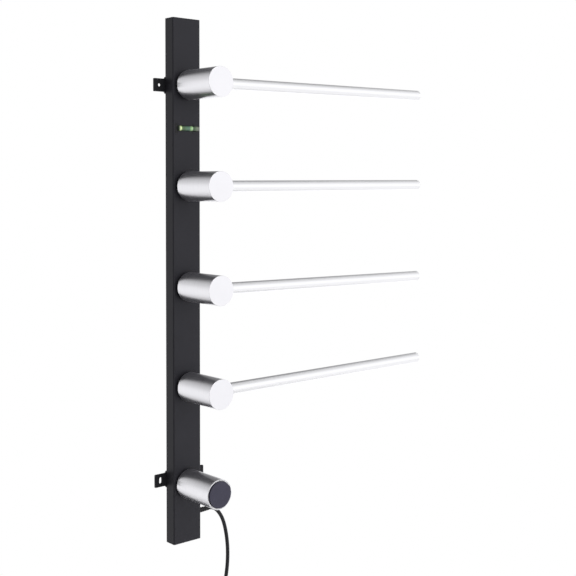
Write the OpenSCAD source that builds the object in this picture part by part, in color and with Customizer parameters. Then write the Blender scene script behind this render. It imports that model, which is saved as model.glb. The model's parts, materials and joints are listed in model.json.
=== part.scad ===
// Wall-hung electric towel warmer: a slim box column, four cantilever heated bars on round hubs,
// a switch housing with a push button, a spirit level in the face, and a mains lead.
// Millimetres. +Z up, the front faces -Y, the wall is the plane y = 0.
// The origin is the middle of the upper wall bracket at the wall, level with the top bar's hub.

/* [Column] */
// Width of the column
col_w = 56; // [50:1:70]
// Depth of the column, front to back
col_d = 23; // [20:1:28]
// Height of the column
col_h = 890; // [890:5:1100]
// Thickness of the column's walls
col_wall = 2; // [1.5:0.5:3]
// Radius of the column's upright edges
col_edge_r = 2.7; // [2:0.1:3]
// Thickness of the end caps' lids
cap_lid = 2; // [1.5:0.5:4]
// Depth of the end caps' plugs inside the column
cap_plug = 8; // [5:1:20]
// Thickness of the back plate
back_t = 2; // [1.5:0.5:3]

/* [Wall brackets] */
// Thickness of each bracket
bracket_t = 3; // [2:0.5:5]
// Width across a bracket's ears
bracket_w = 101; // [96:1:140]
// Height of the ears
ear_h = 22; // [18:1:30]
// Extra height of a bracket behind the column
bracket_rise = 3; // [2:0.5:5]
// Distance between a bracket's two screw holes
screw_span = 79; // [75:1:90]
// Width of the screw holes and slots
screw_hole = 5.5; // [4:0.5:7]
// End-to-end height of the lower bracket's slots
slot_h = 11; // [8:1:14]
// Distance from the upper to the lower bracket
bracket_drop = 670; // [650:5:700]

/* [Arms] */
// Number of heated bars
arm_count = 4; // [2:1:4]
// Distance between neighbouring bars
arm_pitch = 170; // [140:5:170]
// Distance from the column's top to the top bar's hub
top_margin = 112; // [60:1:112]
// Diameter of the hubs
hub_d = 50; // [44:1:54]
// Length of a hub
hub_len = 88; // [82:1:110]
// Gap between the column's face and a hub
hub_gap = 7; // [5:0.5:12]
// Distance from the column's face to a bar's axis
bar_station = 64; // [60:1:66]
// Diameter of the bars
bar_d = 19.2; // [16:0.2:22]
// Wall of the bars
bar_wall = 1.5; // [1:0.1:2]
// Distance from a hub's axis to its bar's tip
bar_reach = 507; // [300:1:700]
// Length of a heater cartridge
heater_len = 380; // [200:5:400]
// Angle that an arm can be levelled each way, in degrees
level_angle = 3; // [1:0.5:5]
// Angle that each arm is set at, in degrees, positive with its tip up
arm_set = [0.7, 0.2, -0.8, 0.2]; // [-1:0.1:1]

/* [Spigots] */
// Diameter of the black neck seen between column and hub
neck_d = 42; // [38:1:43]
// Diameter of the journal that a hub turns on
journal_d = 24; // [20:1:25]
// Length of the journal
journal_len = 40; // [30:1:42]
// Diameter of the boss that passes through the column
boss_d = 22; // [20:0.5:24]
// Bore for the heater leads
lead_bore = 9; // [7:0.5:9]
// Diameter of the stop pins
pin_d = 4; // [3:0.5:5]

/* [Switch housing] */
// Distance from the lowest bar's hub down to the switch
switch_drop = 166.5; // [140:0.5:170]
// Diameter of the switch housing
switch_d = 50; // [46:1:54]
// Distance from the column's face to the housing's front rim
switch_len = 89.7; // [86:0.1:110]
// Gap between the column's face and the housing
switch_gap = 3.7; // [2:0.1:7]
// Wall of the housing
switch_wall = 2; // [1.5:0.5:3]
// Width of the bright bezel ring
bezel_w = 2.4; // [1.2:0.1:3]
// Length of the bezel ring
bezel_len = 5; // [3:0.5:8]
// Gap round the push button
button_gap = 0.6; // [0.3:0.1:1]
// Thickness of the push button
button_t = 8.3; // [6:0.1:10]
// How far the button's face stands out of the rim
button_proud = 2.5; // [1:0.1:3.5]
// Travel of the push button
button_travel = 2; // [1:0.1:2.5]

/* [Level] */
// Distance from the top bar's hub down to the spirit level
vial_drop = 72.5; // [60:0.5:100]
// Diameter of the level's tube
vial_d = 9; // [7:0.5:10]
// Left end of the level's tube, from the column's middle
vial_left = -18.5; // [-19:0.5:-16]
// Right end of the level's tube, from the column's middle
vial_right = 24.5; // [22:0.5:24.5]

/* [Lead] */
// Diameter of the mains lead
cord_d = 6.5; // [6:0.1:8]
// Distance from the switch down to the lead's exit
cord_drop = 56.5; // [50:0.5:63]
// Length of the tapered strain relief outside the column
relief_len = 24; // [20:1:40]
// Distance between the middles of a hank's two runs
hank_fold = 39; // [36:1:45]
// Straight length of a hank's runs
hank_run = 110; // [98:1:130]
// Number of runs side by side on the hank's right
hank_turns = 4; // [3:1:5]

/* [Hidden] */
$fn = 64;
// Named clearances
run_gap = 0.05;      // radial, between a journal and its bore
face_gap = 0.3;      // between a neck's front and the hub that turns in front of it
slip_gap = 0.1;      // radial, between pieces that are slid together
// Planes, front to back
y_back = -bracket_t;
y_face = y_back - col_d;
y_plate = y_back - back_t;
y_mid = y_back - col_d / 2;
y_inner = y_face + col_wall;
back_edge_r = 0.8;   // radius of the column's edges at the wall
// Heights
z_top = top_margin;
z_bottom = top_margin - col_h;
z_switch = -(arm_count - 1) * arm_pitch - switch_drop;
z_cord = z_switch - cord_drop;
z_vial = -vial_drop;
function arm_z(i) = -(i - 1) * arm_pitch;
// Hub and bar
hub_back = y_face - hub_gap;
hub_front = hub_back - hub_len;
bar_y = y_face - bar_station;
journal_front = hub_back - journal_len;
bar_inner = 8;       // how far a bar runs past the hub's axis
tip_t = 3;           // thickness of a bar's end cap
tip_plug = 10;       // length of the cap's plug in the bar
heater_d = 10;       // diameter of the heating rod, which discs hold in the middle of the bar
disc_t = 6;
heater_start = 40;   // distance from the hub's axis to the heater's near end
tail_d = 4;          // diameter of a heater's tail and of a branch lead
pin_r = (neck_d / 2 + journal_d / 2) / 2 + 0.3;
pin_out = 4;         // how far a stop pin stands into the hub's arc slot
pin_set = hub_gap - 2;
set_y = hub_back - 16; // place of the set screw, its pad and the groove that the pad bears in
set_d = 6;
set_sink = 1.5;      // depth of the set screw's end in the hub
set_key = 3.4;       // width across the corners of its hexagon socket
set_key_t = 3;
pad_t = 3;
groove_w = 8;
groove_t = 0.8;
pad_gap = 0.1;
wire_gap = 1.5;      // between a journal's mouth and the end of the heater's tail
wire_end = 2;        // depth of the harness's end in the journal
screw_r = 7.8;       // distance of the spigot screws from the boss's axis
screw_d = 3;
screw_len = 10;
head_d = 5.6;
head_t = 1.4;
key_d = 2;           // width and depth of a screw head's socket
key_t = 1;
boss_floor = 1.5;    // of a boss, behind its lead bore
bracket_screw_x = 20;
ear_r = 1.5;         // radius of a bracket's corners
// Switch unit
switch_back = y_face - switch_gap;
switch_front = y_face - switch_len;
bore_d = switch_d - 2 * switch_wall;
bezel_in = switch_d - 2 * bezel_w;
bezel_lip = 0.6;     // housing wall left round the bezel ring
ring_t = 4;          // wall and length of the neck's ring that the housing is pushed onto
ring_len = 12;
button_d = bezel_in - 2 * button_gap;
button_front = switch_front - button_proud;
button_back = button_front + button_t;
stem_d = 8;
stem_neck = 6.4;     // diameter of the stem in the clip's groove
spring_wire = 1;
spring_d = 13;
spring_turns = 5;
spring_spare = 2;    // room left in the spring when the button is down
spring_space = (spring_turns + 1) * spring_wire + spring_spare + button_travel;
carrier_front = button_back + spring_space;
carrier_t = 8;
carrier_back = carrier_front + carrier_t;
clip_t = 0.8;
clip_d = 12;
clip_gap = 0.1;
stem_end = carrier_back + clip_gap + clip_t + 1;
plunger_d = 4;
plunger_len = 7;
plunger_out = button_travel + 1.2;
box_w = 14;
box_h = 12;
box_t = 12;
box_front = stem_end + clip_gap + plunger_out;
box_back = box_front + box_t;
leg_t = 3;
// Level
vial_block = 5.5;
vial_block_h = 16.5;
vial_clip_x = 11;
vial_clip_w = 3;
vial_sink = 5;       // from the column's face back to the tube's rear
vial_wall = 1.5;
vial_end = 2;        // thickness of the tube's closed ends
bubble_d = 5;
bubble_len = 11;
bubble_x = 2.5;
// Inside the column
trunk_x = -17;
trunk_d = 6;
riser_x = 14;        // the mains lead's cores go up to the board here
board = [36, 1.5, 90];
board_z = z_switch + 70;
board_y = y_mid + trunk_d / 2 + board[1];  // the heaters' leads lie on its face
board_tuck = 8;      // how far the leads reach up or down over the board's ends
relay = [16, 10, 20];
relay_up = 10;
capacitor = [10, 8]; // diameter and height
capacitor_at = [6, -25];
pillar_d = 5;
pillar_in = 4;
block = [26, 12, 18];
block_x = -8;
block_pitch = 8;
well_d = 4;          // width and depth of the terminal screws' wells
cutout_d = 12;
cutout_t = 6;
cutout_ears = [16, 1, 4];
cutout_at = [9, -arm_pitch / 2 - 30];
stud_at = [-14, z_cord - 24];
stud_d = 4;
stud_len = 12;
nut_d = 8;
nut_t = 3;
// Lead
cord_sides = 12;
relief_root = 10;
relief_tip = 7.6;
flange_t = 2;        // of the strain relief's two flanges, inside and outside the wall
flange_rim = 1;
hank_x = 70;
hank_y = -19;
hank_top = -899;
hank_t = hank_turns * cord_d;
tie_h = 10;
tie_t = 1.2;
hank_mid = hank_top - hank_run / 2;
hank_w = hank_fold + cord_d;
plug_size = [30, 22, 34];
plug_edge_r = 5;
plug_relief = 24;
blade = [1.5, 6.4, 17];
blade_pitch = 12.7;
blade_y = 3;
earth = [4.8, 19];   // diameter and length
earth_y = -6.5;
// The lead's route from the strain relief to the hank: x, y, z
cord_route = [
    [52, -14.5, -733], [58, -14.5, -733], [64, -14.5, -735], [70, -14.5, -739],
    [76, -14.5, -745.5], [82, -14.5, -754.5], [87, -14.5, -766], [91, -14.5, -781],
    [94, -14.5, -798], [95.5, -14.5, -815], [95.5, -14.5, -832], [94.5, -14, -849],
    [93, -13, -864], [91, -11.2, -878], [89.5, -9.4, -892]
];
// The lead's tail from the hank to the plug
tail_route = [
    [89.5, -28.8, -1016], [89.5, -28.8, -1030], [89, -28.6, -1042], [88, -28.2, -1054]
];
tail_end = tail_route[len(tail_route) - 1];

ARMS = [for (i = [1:arm_count]) i];

// ---- Shapes that repeat ----

// A cylinder along Y, from y = back forwards to y = front
module rod_y(d, back, front) {
    translate([0, back, 0]) rotate([90, 0, 0]) cylinder(d = d, h = back - front);
}

// A cylinder along X, from x = left to x = right
module rod_x(d, left, right) {
    translate([left, 0, 0]) rotate([0, 90, 0]) cylinder(d = d, h = right - left);
}

// A rectangle with round corners, centred
module rounded_rect(w, d, r) {
    square([w, d - 2 * r], center = true);
    square([w - 2 * r, d], center = true);
    for (sx = [-1, 1], sy = [-1, 1])
        translate([sx * (w / 2 - r), sy * (d / 2 - r)]) circle(r);
}

// A block given by its lowest corner and its size
module block_at(corner, size) {
    translate(corner) cube(size);
}

// A tube of round section swept along a list of points that never run along Y
function unit(v) = v / norm(v);
function heading(p, i) = unit(p[min(i + 1, len(p) - 1)] - p[max(i - 1, 0)]);
function across(t) = unit(cross(t, [0, 1, 0]));
module swept_tube(p, d, sides) {
    rings = len(p);
    points = [
        for (i = [0:rings - 1], k = [0:sides - 1])
            let (t = heading(p, i), u = across(t), w = cross(t, u), a = 360 * k / sides)
            p[i] + d / 2 * (cos(a) * u + sin(a) * w)
    ];
    walls = [
        for (i = [0:rings - 2], k = [0:sides - 1])
            let (next = (k + 1) % sides)
            [i * sides + k, (i + 1) * sides + k, (i + 1) * sides + next, i * sides + next]
    ];
    start = [for (k = [0:sides - 1]) k];
    end = [for (k = [sides - 1:-1:0]) (rings - 1) * sides + k];
    polyhedron(points = points, faces = concat([start], walls, [end]), convexity = 6);
}

// ---- Column ----

// Outline of the column seen from above: soft corners in front, small ones at the wall
module column_outline(inset = 0) {
    front_r = max(col_edge_r - inset, 0.5);
    back_r = max(back_edge_r - inset, 0.5);
    w = col_w / 2 - inset;
    low = y_face + inset;
    high = y_back - inset;
    translate([-w + front_r, low]) square([2 * (w - front_r), high - low - back_r]);
    translate([-w + back_r, low + front_r]) square([2 * (w - back_r), high - low - front_r]);
    translate([-w, low + front_r]) square([2 * w, high - low - front_r - back_r]);
    for (s = [-1, 1]) {
        translate([s * (w - front_r), low + front_r]) circle(front_r);
        translate([s * (w - back_r), high - back_r]) circle(back_r);
    }
}

module column_channel() {
    color([0.2, 0.2, 0.22]) difference() {
        translate([0, 0, z_bottom + cap_lid])
            linear_extrude(col_h - 2 * cap_lid) difference() {
                column_outline();
                column_outline(col_wall);
                // The back is open between the side walls
                translate([-col_w / 2 + col_wall, y_mid]) square([col_w - 2 * col_wall, col_d]);
            }
        for (i = ARMS)
            translate([0, 0, arm_z(i)]) rod_y(boss_d + 2 * slip_gap, y_mid, y_face - 1);
        translate([0, 0, z_switch]) rod_y(boss_d + 2 * slip_gap, y_mid, y_face - 1);
        translate([0, y_mid, z_cord])
            rod_x(relief_root - 1 + 2 * slip_gap, col_w / 2 - col_wall - 1, col_w / 2 + 1);
        vial_window();
    }
}

// The window in the face that the level's tube and clips sit in
module vial_window() {
    tube_h = vial_d + 2 * slip_gap;
    block_at([vial_left - vial_block, y_face - 1, z_vial - tube_h / 2],
             [vial_right - vial_left + vial_block + slip_gap, col_wall + 2, tube_h]);
    for (clip = [[vial_left - vial_block, vial_block], [vial_clip_x, vial_clip_w]])
        block_at([clip[0] - slip_gap, y_face - 1, z_vial - vial_block_h / 2 - slip_gap],
                 [clip[1] + 2 * slip_gap, col_wall + 2, vial_block_h + 2 * slip_gap]);
}

module back_plate() {
    low = z_bottom + cap_lid + cap_plug;
    high = z_top - cap_lid - cap_plug;
    w = col_w - 2 * col_wall - 2 * slip_gap;
    color([0.24, 0.24, 0.26]) difference() {
        block_at([-w / 2, y_plate, low], [w, back_t, high - low]);
        for (z = concat([for (i = ARMS) arm_z(i)], [z_switch]), s = [-1, 1])
            translate([0, 0, z + s * screw_r]) screw_space(y_back);
        for (z = [0, -bracket_drop], s = [-1, 1])
            translate([s * bracket_screw_x, 0, z]) rod_y(screw_d, y_back + 1, y_plate - 1);
    }
}

// The room a countersunk screw takes, its head flush with y = top
module screw_space(top) {
    rod_y(screw_d + 2 * slip_gap, top + 1, top - screw_len - 1);
    translate([0, top, 0]) rotate([90, 0, 0])
        cylinder(d1 = head_d + 2 * slip_gap, d2 = screw_d + 2 * slip_gap, h = head_t);
}

module screw(top) {
    difference() {
        union() {
            rod_y(screw_d, top - head_t / 2, top - screw_len);
            translate([0, top, 0]) rotate([90, 0, 0])
                cylinder(d1 = head_d, d2 = screw_d, h = head_t);
        }
        translate([0, top + 1, 0]) rotate([90, 0, 0]) cylinder(d = key_d, h = key_t + 1, $fn = 6);
    }
}

module back_screws() {
    color("silver") {
        for (z = concat([for (i = ARMS) arm_z(i)], [z_switch]), s = [-1, 1])
            translate([0, 0, z + s * screw_r]) screw(y_back);
        for (z = [0, -bracket_drop], s = [-1, 1])
            translate([s * bracket_screw_x, 0, z]) screw(0);
    }
}

module end_cap(plug_end, lid_end) {
    low = min(plug_end, lid_end);
    high = max(plug_end, lid_end);
    lid = lid_end > plug_end ? high - cap_lid : low;
    plug = lid_end > plug_end ? low : low + cap_lid;
    translate([0, 0, lid]) linear_extrude(cap_lid) column_outline();
    translate([0, 0, plug]) linear_extrude(cap_plug) difference() {
        column_outline(col_wall + slip_gap);
        column_outline(col_wall + slip_gap + cap_lid);
    }
}

module top_cap() {
    color([0.18, 0.18, 0.2]) end_cap(z_top - cap_lid - cap_plug, z_top);
}

module bottom_cap() {
    color([0.18, 0.18, 0.2]) end_cap(z_bottom + cap_lid + cap_plug, z_bottom);
}

// ---- Wall brackets ----

// A round inside corner in the first quadrant
module inside_corner(r) {
    difference() {
        square(r);
        translate([r, r]) circle(r);
    }
}

module bracket_outline() {
    rounded_rect(bracket_w, ear_h, ear_r);
    square([col_w, ear_h + 2 * bracket_rise], center = true);
    for (sx = [0, 1], sz = [0, 1])
        mirror([sx, 0]) mirror([0, sz])
            translate([col_w / 2, ear_h / 2]) inside_corner(bracket_rise);
}

module bracket(hole_h) {
    difference() {
        rotate([90, 0, 0]) linear_extrude(bracket_t) difference() {
            bracket_outline();
            for (s = [-1, 1]) translate([s * screw_span / 2, 0]) {
                for (e = [-1, 1]) translate([0, e * (hole_h - screw_hole) / 2])
                    circle(d = screw_hole);
                if (hole_h > screw_hole)
                    square([screw_hole, hole_h - screw_hole], center = true);
            }
        }
        for (s = [-1, 1]) translate([s * bracket_screw_x, 0, 0]) screw_space(0);
    }
}

module upper_bracket() {
    color([0.1, 0.1, 0.11]) bracket(screw_hole);
}

module lower_bracket() {
    color([0.1, 0.1, 0.11]) translate([0, 0, -bracket_drop]) bracket(slot_h);
}

// ---- Arms ----

// Neck, boss and lead bore that the spigots and the switch share
module neck(gap, d) {
    rod_y(d, y_face, y_face - gap);
    rod_y(boss_d, y_plate, y_face - gap / 2);
}

module boss_cuts(front) {
    rod_y(lead_bore, y_plate - boss_floor, front - 1);
    for (s = [-1, 1])
        translate([0, 0, s * screw_r]) rod_y(screw_d, y_plate + 1, y_back - screw_len - 1);
    // The leads come in from the left side of the boss
    translate([0, y_mid, 0]) rod_x(tail_d + 2, -boss_d, 0);
}

module spigot(i) {
    color([0.12, 0.12, 0.13]) translate([0, 0, arm_z(i)]) difference() {
        union() {
            neck(hub_gap - face_gap, neck_d);
            rod_y(journal_d, hub_back + 1, journal_front);
        }
        boss_cuts(journal_front);
        // Groove that the friction pad bears in
        difference() {
            rod_y(journal_d + 2, set_y + groove_w / 2, set_y - groove_w / 2);
            rod_y(journal_d - 2 * groove_t, set_y + groove_w, set_y - groove_w);
        }
        translate([0, 0, pin_r]) rod_y(pin_d, hub_back + pin_set, hub_back - 1);
    }
}

module stop_pins() {
    color("silver") for (i = ARMS)
        translate([0, 0, arm_z(i) + pin_r]) rod_y(pin_d, hub_back + pin_set, hub_back - pin_out);
}

// Everything that turns with an arm, at the angle the arm is set at
module on_arm(i) {
    translate([0, 0, arm_z(i)]) rotate([0, -arm_set[i - 1], 0]) children();
}

// A slot in the hub's rear face round the stop pin, as long as the arm may be levelled
module stop_slot() {
    width = pin_d + 2 * slip_gap;
    reach = pin_r * sin(level_angle);
    translate([0, hub_back + 1, pin_r]) rotate([90, 0, 0]) linear_extrude(pin_out + 2) {
        square([2 * reach, width], center = true);
        for (s = [-1, 1]) translate([s * reach, 0]) circle(d = width);
    }
}

module hub(i) {
    color([0.75, 0.75, 0.76]) on_arm(i) difference() {
        rod_y(hub_d, hub_back, hub_front);
        rod_y(journal_d + 2 * run_gap, hub_back + 1, journal_front - 1);
        rod_y(lead_bore, journal_front, bar_y);
        stop_slot();
        // The bar is bonded in its cross bore
        translate([0, bar_y, 0]) rod_x(bar_d + 2 * run_gap, -bar_inner - 1, hub_d / 2 + 1);
        // The set screw and its pad come in from below
        translate([0, set_y, -hub_d / 2 - 1]) cylinder(d = set_d, h = hub_d / 2 + 1);
    }
}

module bar(i) {
    color([0.78, 0.78, 0.79]) on_arm(i) translate([0, bar_y, 0]) difference() {
        rod_x(bar_d, -bar_inner, bar_reach - tip_t);
        rod_x(bar_d - 2 * bar_wall, -bar_inner - 1, bar_reach);
        // The leads come in from the spigot behind
        rod_y(lead_bore, bar_d, 0);
    }
}

module bar_tip(i) {
    color([0.78, 0.78, 0.79]) on_arm(i) translate([0, bar_y, 0]) {
        rod_x(bar_d, bar_reach - tip_t, bar_reach);
        rod_x(bar_d - 2 * bar_wall - 2 * run_gap, bar_reach - tip_t - tip_plug, bar_reach - 1);
    }
}

// The heater cartridge and its tail, which ends at the journal's mouth
module heater(i) {
    color([0.6, 0.6, 0.55]) on_arm(i) {
        translate([0, bar_y, 0]) {
            rod_x(heater_d, heater_start, heater_start + heater_len);
            for (k = [0:2]) translate([heater_start + k * (heater_len - disc_t) / 2, 0, 0])
                rod_x(bar_d - 2 * bar_wall - 2 * slip_gap, 0, disc_t);
            rod_x(tail_d, 0, heater_start);
            sphere(d = tail_d);
        }
        rod_y(tail_d, journal_front - wire_gap, bar_y);
    }
}

// Set screw and brass pad that hold the arm level by friction in the spigot's groove
module hub_fixings(i) {
    pad_top = -(journal_d / 2 - groove_t + pad_gap);
    screw_low = -hub_d / 2 + set_sink;
    color("goldenrod") on_arm(i) translate([0, set_y, 0]) {
        translate([0, 0, pad_top - pad_t]) cylinder(d = set_d - 2 * slip_gap, h = pad_t);
        translate([0, 0, screw_low]) difference() {
            cylinder(d = set_d - 2 * slip_gap, h = pad_top - pad_t - screw_low);
            translate([0, 0, -1]) cylinder(d = set_key, h = set_key_t + 1, $fn = 6);
        }
    }
}

// ---- Switch unit ----

module switch_neck() {
    color([0.12, 0.12, 0.13]) translate([0, 0, z_switch]) difference() {
        union() {
            neck(switch_gap, neck_d);
            // Ring that the housing is pushed onto
            rod_y(bore_d - 2 * run_gap, switch_back + 1, switch_back - ring_len);
        }
        rod_y(bore_d - 2 * ring_t, switch_back, switch_back - ring_len - 1);
        boss_cuts(switch_back);
    }
}

module switch_housing() {
    color([0.75, 0.75, 0.76]) translate([0, 0, z_switch]) difference() {
        rod_y(switch_d, switch_back, switch_front);
        rod_y(bore_d, switch_back + 1, switch_front - 1);
        rod_y(switch_d - 2 * bezel_lip, switch_front + bezel_len, switch_front - 1);
    }
}

module button_bezel() {
    color([0.85, 0.85, 0.86]) translate([0, 0, z_switch]) difference() {
        rod_y(switch_d - 2 * bezel_lip, switch_front + bezel_len, switch_front);
        rod_y(bezel_in, switch_front + bezel_len + 1, switch_front - 1);
    }
}

module switch_carrier() {
    color([0.15, 0.15, 0.16]) translate([0, 0, z_switch]) {
        difference() {
            rod_y(bore_d - 2 * slip_gap, carrier_back, carrier_front);
            rod_y(stem_d + 2 * run_gap, carrier_back + 1, carrier_front - 1);
        }
        for (s = [-1, 1])
            block_at([s * (box_w / 2 + slip_gap + leg_t / 2) - leg_t / 2, carrier_back - 1, -box_h / 2],
                     [leg_t, box_back - carrier_back + 1, box_h]);
    }
}

module push_button() {
    color([0.27, 0.26, 0.33]) translate([0, 0, z_switch]) {
        rod_y(button_d, button_back, button_front);
        difference() {
            rod_y(stem_d, stem_end, button_back - 1);
            // Groove for the retaining clip
            difference() {
                rod_y(stem_d + 2, carrier_back + clip_gap + clip_t, carrier_back + clip_gap);
                rod_y(stem_neck, stem_end, carrier_back);
            }
        }
    }
}

module button_clip() {
    color("silver") translate([0, 0, z_switch]) difference() {
        rod_y(clip_d, carrier_back + clip_gap + clip_t, carrier_back + clip_gap);
        rod_y(stem_neck, stem_end, carrier_back);
        block_at([-stem_neck / 2, carrier_back, 0], [stem_neck, clip_t + 1, clip_d]);
    }
}

module button_spring() {
    per_turn = 16;
    rise = spring_space - spring_wire - 2 * slip_gap;
    coil = [
        for (k = [0:per_turn * spring_turns])
            let (a = 360 * k / per_turn, r = (spring_d - spring_wire) / 2)
            [r * cos(a), carrier_front - slip_gap - spring_wire / 2
                - rise * k / (per_turn * spring_turns), r * sin(a)]
    ];
    color("silver") translate([0, 0, z_switch]) swept_tube(coil, spring_wire, 8);
}

module switch_body() {
    color([0.1, 0.1, 0.1]) translate([0, 0, z_switch]) difference() {
        block_at([-box_w / 2, box_front, -box_h / 2], [box_w, box_back - box_front, box_h]);
        rod_y(plunger_d + 2 * run_gap, box_front + plunger_len, box_front - 1);
    }
}

module switch_plunger() {
    front = box_front - plunger_out;
    color("white") translate([0, 0, z_switch]) rod_y(plunger_d, front + plunger_len, front);
}

// ---- Level ----

module vial_clips() {
    color([0.05, 0.05, 0.06]) translate([0, 0, z_vial]) difference() {
        union() {
            block_at([vial_left - vial_block, y_face, -vial_block_h / 2],
                     [vial_block, col_wall, vial_block_h]);
            block_at([vial_clip_x, y_face, -vial_block_h / 2], [vial_clip_w, col_wall, vial_block_h]);
            // Cradle behind the face that joins the clips
            block_at([vial_left - vial_block, y_inner, -vial_block_h / 2],
                     [vial_right - vial_left + vial_block, vial_sink, vial_block_h]);
        }
        translate([0, y_face + vial_sink - vial_d / 2, 0])
            rod_x(vial_d + 2 * slip_gap, vial_left, vial_right + 1);
    }
}

module vial_tube() {
    color([0.45, 0.85, 0.35]) translate([0, y_face + vial_sink - vial_d / 2, z_vial]) difference() {
        rod_x(vial_d, vial_left, vial_right);
        rod_x(vial_d - 2 * vial_wall, vial_left + vial_end, vial_right - vial_end);
    }
}

module vial_bubble() {
    r = bubble_d / 2;
    lift = vial_d / 2 - vial_wall - r - slip_gap;
    color([0.85, 1, 0.8]) translate([0, y_face + vial_sink - vial_d / 2, z_vial + lift]) {
        rod_x(bubble_d, bubble_x - bubble_len / 2 + r, bubble_x + bubble_len / 2 - r);
        for (s = [-1, 1])
            translate([bubble_x + s * (bubble_len / 2 - r), 0, 0]) sphere(d = bubble_d);
    }
}

// ---- Inside the column ----

module control_board() {
    color([0.1, 0.4, 0.2]) {
        block_at([-board[0] / 2, board_y - board[1], board_z - board[2] / 2], board);
        // Relay and capacitor in front, four pillars behind
        block_at([-relay[0] / 2, board_y - board[1] - relay[1], board_z + relay_up], relay);
        translate([capacitor_at[0], 0, board_z + capacitor_at[1]])
            rod_y(capacitor[0], board_y - 1, board_y - board[1] - capacitor[1]);
        for (sx = [-1, 1], sz = [-1, 1])
            translate([sx * (board[0] / 2 - pillar_in), 0, board_z + sz * (board[2] / 2 - pillar_in)])
                rod_y(pillar_d, y_plate, board_y - 1);
    }
}

module thermal_cutout() {
    ears = cutout_ears;
    color("white") translate([cutout_at[0], 0, cutout_at[1]]) {
        rod_y(cutout_d, y_plate, y_plate - cutout_t);
        block_at([-ears[0] / 2, y_plate - ears[1], -ears[2] / 2], ears);
    }
}

module terminal_block() {
    color([0.9, 0.9, 0.85]) difference() {
        block_at([block_x - block[0] / 2, y_plate - block[1], z_cord - block[2] / 2], block);
        for (k = [-1:1]) translate([block_x + k * block_pitch, 0, z_cord])
            rod_y(well_d, y_plate - block[1] + well_d, y_plate - block[1] - 1);
    }
}

module earth_stud() {
    color("goldenrod") translate([stud_at[0], 0, stud_at[1]]) {
        rod_y(stud_d, y_plate, y_plate - stud_len);
        rotate([90, 0, 0]) translate([0, 0, -y_plate + 1]) cylinder(d = nut_d, h = nut_t, $fn = 6);
    }
}

// Leads from the board up the left of the column, with a branch into each spigot
module heater_harness() {
    low = board_z + board[2] / 2 - board_tuck;
    color([0.8, 0.75, 0.7]) {
        translate([trunk_x, y_mid, low]) cylinder(d = trunk_d, h = -low);
        for (i = ARMS) translate([0, 0, arm_z(i)]) {
            translate([trunk_x, y_mid, 0]) sphere(d = trunk_d);
            translate([0, y_mid, 0]) rod_x(tail_d, trunk_x, 0);
            translate([0, y_mid, 0]) sphere(d = tail_d);
            rod_y(tail_d, y_mid, journal_front + wire_end);
        }
    }
}

// Leads from the board down to the switch
module switch_harness() {
    high = board_z - board[2] / 2 + board_tuck;
    color([0.3, 0.3, 0.6]) {
        translate([trunk_x, y_mid, z_switch]) cylinder(d = tail_d, h = high - z_switch);
        translate([trunk_x, y_mid, z_switch]) sphere(d = tail_d);
        translate([0, y_mid, z_switch]) rod_x(tail_d, trunk_x, 0);
        translate([0, y_mid, z_switch]) sphere(d = tail_d);
        translate([0, 0, z_switch]) rod_y(tail_d, y_mid, box_back);
    }
}

// The lead's inner end, from the strain relief to the terminal block and up to the board
module mains_harness() {
    high = board_z - board[2] / 2 + board_tuck;
    color([0.2, 0.2, 0.2]) {
        translate([0, y_mid, z_cord])
            rod_x(cord_d, block_x + block[0] / 2, col_w / 2 - col_wall - flange_t);
        translate([riser_x, y_mid, z_cord]) cylinder(d = tail_d, h = high - z_cord);
    }
}

// ---- Lead ----

module strain_relief() {
    wall_in = col_w / 2 - col_wall;
    color([0.07, 0.07, 0.08]) translate([0, y_mid, z_cord]) {
        rod_x(relief_root - 1, wall_in - flange_t, col_w / 2 + 1);
        rod_x(relief_root + 2 * flange_rim, wall_in - flange_t, wall_in);
        rod_x(relief_root + flange_rim, col_w / 2, col_w / 2 + flange_t);
        translate([col_w / 2 + 1, 0, 0]) rotate([0, 90, 0])
            cylinder(d1 = relief_root, d2 = relief_tip, h = relief_len - 1);
    }
}

module cord() {
    color([0.06, 0.06, 0.07]) swept_tube(cord_route, cord_d, cord_sides);
}

module cord_tail() {
    color([0.06, 0.06, 0.07]) swept_tube(tail_route, cord_d, cord_sides);
}

module cord_hank() {
    color([0.06, 0.06, 0.07]) translate([hank_x, hank_y + hank_t / 2, hank_mid])
        rotate([90, 0, 0]) linear_extrude(hank_t) {
            square([hank_w, hank_run], center = true);
            for (s = [-1, 1]) translate([0, s * hank_run / 2]) circle(d = hank_w);
        }
}

module cord_tie() {
    color([0.12, 0.12, 0.13]) translate([hank_x, hank_y, hank_mid - tie_h / 2])
        linear_extrude(tie_h) difference() {
            rounded_rect(hank_w + 2 * tie_t, hank_t + 2 * tie_t, 2 * tie_t);
            square([hank_w, hank_t], center = true);
        }
}

module plug() {
    color([0.07, 0.07, 0.08]) translate(tail_end) {
        translate([0, 0, -plug_relief])
            cylinder(d1 = relief_root, d2 = relief_tip, h = plug_relief);
        translate([0, 0, -plug_relief - plug_size[2]])
            linear_extrude(plug_size[2]) rounded_rect(plug_size[0], plug_size[1], plug_edge_r);
    }
}

// Two flat blades and a longer round earth pin in front of them
module plug_pins() {
    color("silver") translate(tail_end - [0, 0, plug_relief + plug_size[2]]) {
        for (s = [-1, 1])
            block_at([s * blade_pitch / 2 - blade[0] / 2, blade_y - blade[1] / 2, -blade[2]], blade);
        translate([0, earth_y, -earth[1]]) cylinder(d = earth[0], h = earth[1]);
    }
}

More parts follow.
